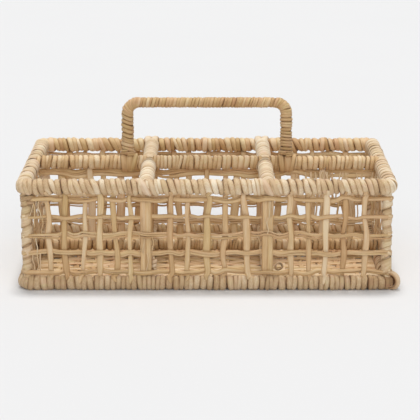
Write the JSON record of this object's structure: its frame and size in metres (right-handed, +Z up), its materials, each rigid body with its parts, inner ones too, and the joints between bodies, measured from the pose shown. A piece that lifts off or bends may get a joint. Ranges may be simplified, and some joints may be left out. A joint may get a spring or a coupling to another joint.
{
  "type": "glassware caddy",
  "caption": "Open woven caddy for glasses: a wire frame wound with plant-fibre strand, lattice walls and dividers, a woven floor and a fixed carrying handle.",
  "frame": {"origin": "on the table, under the middle of the caddy", "axes": "+X along the length, to the right as seen from the front, +Y to the back, +Z up"},
  "size_m": [0.421, 0.252, 0.1963],
  "materials": {
    "frame_wire": "drawn iron wire, lacquered",
    "rim_strand": "matt plant-fibre strand",
    "base_strand": "matt plant-fibre strand",
    "cross_strand": "matt plant-fibre strand",
    "mid_strand": "matt plant-fibre strand",
    "handle_strand": "matt plant-fibre strand",
    "weave_strand": "matt plant-fibre strand",
    "floor_strand": "matt plant-fibre strand"
  },
  "bodies": {
    "root": {"back_post_left": "weave_strand", "back_post_right": "weave_strand", "back_weave": "weave_strand", "base_cross_wire_left": "frame_wire", "base_cross_wire_right": "frame_wire", "base_cross_wrap_left": "base_strand", "base_cross_wrap_right": "base_strand", "base_mid_wire": "frame_wire", "base_mid_wrap": "base_strand", "base_wire": "frame_wire", "base_wrap_back": "base_strand", "base_wrap_front": "base_strand", "base_wrap_left": "base_strand", "base_wrap_right": "base_strand", "corner_wire_back_left": "frame_wire", "corner_wire_back_right": "frame_wire", "corner_wire_front_left": "frame_wire", "corner_wire_front_right": "frame_wire", "corner_wrap_back_left": "base_strand", "corner_wrap_back_right": "base_strand", "corner_wrap_front_left": "base_strand", "corner_wrap_front_right": "base_strand", "cross_weave_back_left": "weave_strand", "cross_weave_back_right": "weave_strand", "cross_weave_front_left": "weave_strand", "cross_weave_front_right": "weave_strand", "cross_wire_left": "frame_wire", "cross_wire_right": "frame_wire", "cross_wrap_left": "cross_strand", "cross_wrap_right": "cross_strand", "floor_weave": "floor_strand", "foot_lashing_left": "handle_strand", "foot_lashing_right": "handle_strand", "front_post_left": "weave_strand", "front_post_right": "weave_strand", "front_weave": "weave_strand", "handle_wire": "frame_wire", "handle_wrap": "handle_strand", "inner_post_left": "weave_strand", "inner_post_right": "weave_strand", "mid_weave": "weave_strand", "mid_wire": "frame_wire", "mid_wrap_left": "mid_strand", "mid_wrap_middle": "mid_strand", "mid_wrap_right": "mid_strand", "rim_wire": "frame_wire", "rim_wrap_back": "rim_strand", "rim_wrap_front": "rim_strand", "rim_wrap_left": "rim_strand", "rim_wrap_right": "rim_strand", "side_post_left": "weave_strand", "side_post_right": "weave_strand", "side_weave_left": "weave_strand", "side_weave_right": "weave_strand"}
  },
  "joints": []
}
